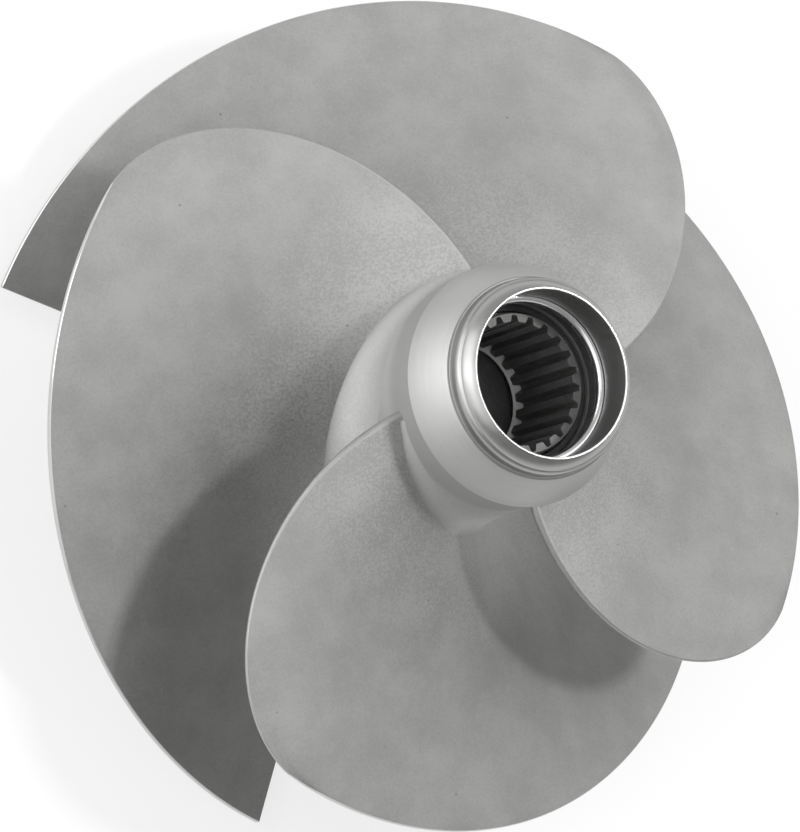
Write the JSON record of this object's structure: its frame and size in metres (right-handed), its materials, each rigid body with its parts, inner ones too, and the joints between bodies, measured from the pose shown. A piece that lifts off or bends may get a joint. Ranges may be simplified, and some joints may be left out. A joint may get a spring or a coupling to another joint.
{
  "type": "jet-pump impeller",
  "caption": "Wide-bladed jet-pump impeller with overlapping helical blades on a round hub, a splined drive socket in the nose and a threaded bore at the rear.",
  "frame": {"origin": "centre of the hub's rear seat face, the lowest plane of the part", "axes": "+Z along the shaft axis from the rear seat to the nose; +X towards the root of the leading edge of blade_1"},
  "size_m": [0.159, 0.159, 0.0778],
  "materials": {
    "cast_stainless": "satin cast stainless steel, blasted",
    "weld_metal": "ground root fillet",
    "turned_stainless": "fine turned, polished rim",
    "spline_steel": "broached steel, oiled",
    "spring_steel": "bright drawn wire",
    "insert_steel": "turned steel",
    "black_rubber": "moulded nitrile rubber"
  },
  "bodies": {
    "rotor": {"hub_shell": "cast_stainless", "nose_collar": "turned_stainless", "rear_ring": "turned_stainless", "thread_insert": "insert_steel", "shaft_seal": "black_rubber", "rear_seal": "black_rubber", "spline_sleeve": "spline_steel", "retaining_ring": "spring_steel", "blade_1": "cast_stainless", "blade_2": "cast_stainless", "blade_3": "cast_stainless", "blade_4": "cast_stainless", "blade_1_front_weld": "weld_metal", "blade_2_front_weld": "weld_metal", "blade_3_front_weld": "weld_metal", "blade_4_front_weld": "weld_metal", "blade_1_rear_weld": "weld_metal", "blade_2_rear_weld": "weld_metal", "blade_3_rear_weld": "weld_metal", "blade_4_rear_weld": "weld_metal"},
    "bumper": {"shaft_bumper": "black_rubber"}
  },
  "joints": [
    {"name": "bumper_slide", "type": "slide", "parent": "rotor", "child": "bumper", "axis": [0, 0, 1], "range_m": [0, 0.003]}
  ]
}
